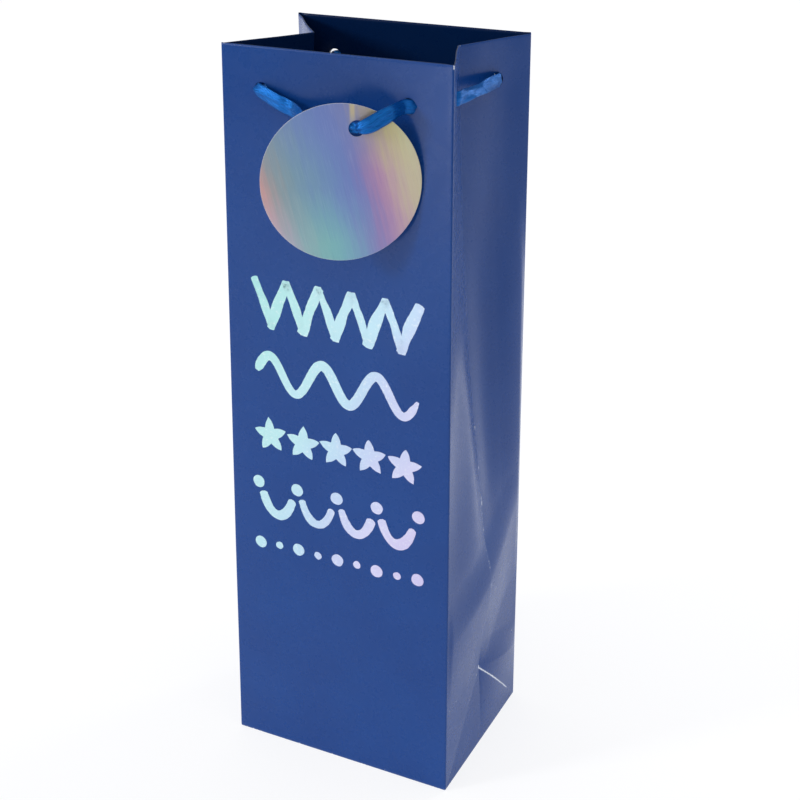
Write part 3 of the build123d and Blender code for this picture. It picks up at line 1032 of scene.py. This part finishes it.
def corner_links():
    """Ribbon inside each corner, from the panel's eyelet to the gusset's."""
    for half in (-1, 1):
        for side in (1, -1):
            inward = -face_normal(half)
            eye, out_dir = gusset_eyelet(side, half)
            start = by_eye(half, side * EYE_X[half])
            middle = (start + inward * 6.5 + eye - out_dir * 6.5) / 2
            stations = [
                (start - inward * 0.6 + RIGHT * side * 1.4, UP, 4.2, 0.9, 0.6),
                (start + inward * 2.6, UP, 4.6, 1.0, 0.6),
                (middle - UP * 0.6, UP, 5.4, 1.0, 0.5),
                (eye - out_dir * 2.6, UP, 4.6, 1.0, 0.6),
                (eye + out_dir * 0.5, UP, 4.2, 0.9, 0.6),
            ]
            name = f"ribbon_link_{WHERE[half]}_{SIDE[side]}"
            blend_field(ribbon_strip(f"{name}_satin", stations, 50, name), half)


def side_crossings():
    """Ribbon across the outside of each gusset, taut over the tuck, split over the crease."""
    for side in (1, -1):
        eyes = {half: gusset_eyelet(side, half) for half in (-1, 1)}
        out = RIGHT * side
        middle = (eyes[-1][0] + eyes[1][0]) / 2 + out * 2.2
        run = (eyes[1][0] - eyes[-1][0]).normalized()
        lie_back = UP * 0.62 - out * 0.78  # the satin faces up towards the front
        for half, turn in ((-1, lie_back), (1, UP * 0.9 - out * 0.4)):
            eye, out_dir = eyes[half]
            step = run * -half
            cup = -side * half
            stations = [
                (eye - out_dir * 2.4 - step * 1.2 + UP * 0.5, UP, 6.4, 1.0 * cup, 0.3),
                (eye + out_dir * 0.3 + UP * 0.5, UP, 6.4, 1.0 * cup, 0.3),
                (eye + out_dir * 0.8 + step * 2.6 + UP * 0.7, UP, 6.2, 0.9 * cup, 0.3),
                (eye * 0.45 + middle * 0.55 + UP * 0.9, turn, 5.8, 0.6 * cup, 0.15),
                (middle + step * 0.3 + UP * 0.9, lie_back, 5.6, 0.5 * cup, 0.0),
            ]
            name = f"{SIDE[side]}_ribbon_crossing"
            blend_field(ribbon_strip(f"{name}_{WHERE[half]}", stations, 60, name), half)


front_span()
back_span()
ribbon_knot()
corner_links()
side_crossings()


# ---- foil ornament


def brush_stroke(points, width, seed):
    """Left and right edge of one brushed stroke along points on the front panel."""
    steps = max(8, ceil(sum((b - a).length for a, b in zip(points, points[1:])) / 0.7))
    path = [spline(points, i / steps) for i in range(steps + 1)]
    edge_left, edge_right = [], []
    total = 0.0
    for i, here in enumerate(path):
        ahead = (path[min(steps, i + 1)] - path[max(0, i - 1)]).normalized()
        side = Vector((-ahead.y, ahead.x))
        f = i / steps
        total += (here - path[max(0, i - 1)]).length
        press = 0.80 + 0.30 * noise.noise(Vector((f * 3.1, seed, 0.5))) + 0.16 * sin(pi * f)
        end = min(1.0, f / 0.03 + 0.42) * min(1.0, (1 - f) / 0.045 + 0.35)
        half = width / 2 * press * end
        edge_left.append(here + side * (half + 0.16 * noise.noise(Vector((total * 0.6, seed, 3.0)))))
        edge_right.append(here - side * (half + 0.16 * noise.noise(Vector((total * 0.6, seed, 9.0)))))
    return edge_left, edge_right


def lay_on_panel(flat, out):
    """Puts a flat point (x, height up the panel) on the front panel's skin."""
    s = flat.x / half_width(-1, flat.y)
    return face_point(-1, flat.x, flat.y, panel_relief(-1, s, flat.y) + out)


class Foil:
    """Collects strokes, stars and dots into one thin foil mesh."""

    def __init__(self):
        self.verts, self.faces = [], []

    def strip(self, left, right):
        """Adds a thin solid strip between two edges."""
        first = len(self.verts)
        count = len(left)
        for a, b in zip(left, right):
            flats = [a.lerp(b, k / 3) for k in range(4)]
            self.verts += [lay_on_panel(flat, FOIL) for flat in flats]
            self.verts += [lay_on_panel(flat, FOIL_LOW) for flat in flats[::-1]]
        self.faces += grid_faces(count, 8, wrap_cols=True, first=first)
        for start in (first, first + 8 * (count - 1)):
            self.faces.append(list(range(start, start + 8)))

    def blob(self, centre, outline):
        """Adds a thin solid patch from an outline of (angle, radius)."""
        first = len(self.verts)
        rings, count = 5, len(outline)
        layer = rings * count + 1
        for base, lift in ((first, FOIL), (first + layer, FOIL_LOW)):
            for r in range(1, rings + 1):
                for angle, radius in outline:
                    flat = centre + Vector((sin(angle), cos(angle))) * radius * r / rings
                    self.verts.append(lay_on_panel(flat, lift))
            self.verts.append(lay_on_panel(centre, lift))
            self.faces += grid_faces(rings, count, wrap_cols=True, first=base)
            self.faces += [[base + layer - 1, base + k, base + (k + 1) % count] for k in range(count)]
        rim = first + (rings - 1) * count
        for k in range(count):
            m = (k + 1) % count
            self.faces.append([rim + k, rim + m, rim + layer + m, rim + layer + k])

    def dot(self, x, up, radius):
        """Adds a dabbed dot."""
        outline = []
        for k in range(32):
            angle = 2 * pi * k / 32
            rough = 0.24 * noise.noise(Vector((cos(angle), sin(angle), x * 0.1 + up)))
            outline.append((angle, radius + rough))
        self.blob(Vector((x, up)), outline)

    def star(self, place):
        """Adds one of the five-pointed stars, counted from the middle one."""
        outline = []
        for k in range(60):
            angle = 2 * pi * k / 60 + 0.10 * sin(place * 3.7)
            spike = abs((k % 12) / 6 - 1) ** 1.25
            radius = 4.4 + 4.7 * spike * (1 - 0.06 * sin(place + k // 12))
            outline.append((angle, radius + 0.12 * noise.noise(Vector((k * 0.7, place, 4.0)))))
        self.blob(Vector((place * 17.8, STARS_UP + 0.5 * sin(place * 2.3))), outline)


def foil_ornament():
    """Five brushed rows: zigzag, wave, stars, scallops with dots, and dots."""
    foil = Foil()
    zigzag = [Vector((MOTIF_HALF * (i / 5 - 1), ZIGZAG_UP + 11.0 * (-1) ** i)) for i in range(11)]
    for i, (a, b) in enumerate(zip(zigzag, zigzag[1:])):
        middle = (a + b) / 2 + Vector((0.5 * (-1) ** i, 0.3))
        reach = (b - a).normalized() * 1.3
        points = [a - reach, (a + middle) / 2, middle, (b + middle) / 2, b + reach]
        foil.strip(*brush_stroke(points, STROKE * (1.05 if i % 2 else 0.85), 2.0 + i * 1.7))
    wave = [Vector((MOTIF_HALF * (i / 18 - 1), WAVE_UP + 8.5 * sin(pi * i / 6))) for i in range(37)]
    foil.strip(*brush_stroke(wave, STROKE, 31.0))
    for place in range(-2, 3):
        foil.star(place)
    for index in range(4):
        x = (index - 1.5) * 21.5
        arc = []
        for degrees in range(-62, 63, 8):
            across = sin(radians(degrees)) / sin(radians(62))
            rise = (1 - cos(radians(degrees))) / (1 - cos(radians(62)))
            arc.append(Vector((x + 8.4 * across, SCALLOPS_UP + 11.5 * rise)))
        foil.strip(*brush_stroke(arc, STROKE, 50.0 + 3 * index))
    for place in range(-2, 3):
        foil.dot(place * 21.5, SCALLOPS_UP + 16.5 + 0.4 * sin(place), 3.2)
    for place in range(-4, 5):
        foil.dot(place * 10.75, DOTS_UP + 0.4 * sin(2.0 * place), 2.0 if place % 2 else 3.2)
    obj = make_object("foil_ornament", foil.verts, foil.faces, [pearl_foil], sharp=50)
    stand_for(obj, "pearl_foil", "foil_motif")
    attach(obj, "front")


foil_ornament()


# ---- floor, light and camera


def floor():
    """White floor that glows unevenly as painted light, weaker in front of the bag, and looks almost white
    to the camera.
    """
    mesh = bpy.data.meshes.new("floor")
    bm = bmesh.new()
    bmesh.ops.create_circle(bm, cap_ends=True, segments=96, radius=2.0)
    bm.to_mesh(mesh)
    bm.free()
    plane = link(bpy.data.objects.new("floor", mesh))
    plane.location = (0, 0.5, -0.0002)
    n = Nodes(bpy.data.materials.new("floor"))
    away = n.split(n.stretch(n.place(), (1, 1, 1)))[1]
    # painted light: the floor's glow lights the bag and shows in its reflections
    glow = n.span(away, -0.9, -0.2, 0.10, 0.42)  # darker in front of the bag
    n.set(Base_Color=(0.93, 0.93, 0.94, 1), Roughness=0.9)
    n.set(Emission_Color=(0.88, 0.90, 1, 1), Emission_Strength=glow)
    # the camera sees the floor almost as white as the background
    share = n.times(n.new("LightPath").outputs["Is Camera Ray"], 0.72)
    white = n.new("Emission").outputs[0]
    seen = n.new("MixShader", {0: share, 1: n.bsdf.outputs[0], 2: white}).outputs[0]
    n.put(n.tree.nodes["Material Output"].inputs["Surface"], seen)
    mesh.materials.append(n.owner)


def area_light(name, place, target, size, power):
    """Soft rectangular white light aimed at a point (metres)."""
    data = bpy.data.lights.new(name, "AREA")
    data.shape = "RECTANGLE"
    data.size, data.size_y = size
    data.energy = power
    lamp = link(bpy.data.objects.new(name, data))
    lamp.location = place
    lamp.rotation_euler = (Vector(target) - Vector(place)).to_track_quat("-Z", "Y").to_euler()


def world():
    """White surroundings to the camera; as light, softer ones that are brighter above."""
    scene = bpy.context.scene
    scene.world = bpy.data.worlds.new("studio")
    n = Nodes(scene.world)
    n.tree.nodes.clear()
    rise = n.span(n.split(n.place("Generated"))[2], 0.0, 0.9, 0.25, 0.85)
    lit = n.new("Background", {"Color": (0.97, 0.98, 1.0, 1), "Strength": rise}).outputs[0]
    seen = n.new("Background", {"Color": (1, 1, 1, 1), "Strength": 1.0}).outputs[0]
    camera_ray = n.new("LightPath").outputs["Is Camera Ray"]
    mixed = n.new("MixShader", {0: camera_ray, 1: lit, 2: seen}).outputs[0]
    n.new("OutputWorld", {"Surface": mixed})


def camera():
    """Camera a little above the bag and to the right of its front."""
    azimuth, elevation, roll = 0.465742, 0.437679, -0.00858932
    aim_up, shift_right, shift_up, distance = 178.0, 9.1975, 8.8389, 706.23
    back = Vector((sin(azimuth) * cos(elevation), -cos(azimuth) * cos(elevation), sin(elevation)))
    level_right = Vector((cos(azimuth), sin(azimuth), 0))
    level_up = back.cross(level_right)
    right = level_right * cos(roll) + level_up * sin(roll)
    up = level_up * cos(roll) - level_right * sin(roll)
    place = UP * aim_up + right * shift_right + up * shift_up + back * distance
    data = bpy.data.cameras.new("camera")
    data.sensor_width = 36.0
    data.lens = 64.83
    data.shift_x = 0.00786
    data.shift_y = -0.00624
    data.clip_start = 0.01
    obj = link(bpy.data.objects.new("camera", data))
    obj.matrix_world = Matrix.Translation(place * MM) @ Matrix((right, up, back)).transposed().to_4x4()
    bpy.context.scene.camera = obj


floor()
world()
area_light("key", (-1.35, -1.35, 1.0), (0, 0, 0.2), (0.34, 0.34), 14.5)
area_light("front_sheen", (-0.42, -1.40, 0.13), (0.03, 0, 0.34), (0.24, 0.34), 1.6)
area_light("ribbon_rim", (0.85, 1.55, 0.95), (0.06, 0, 0.34), (0.3, 0.3), 5.0)
area_light("side_sheen", (1.5, 0.75, 0.14), (0, 0, 0.3), (0.8, 0.4), 1.0)
camera()
bpy.context.scene.view_settings.view_transform = "Standard"
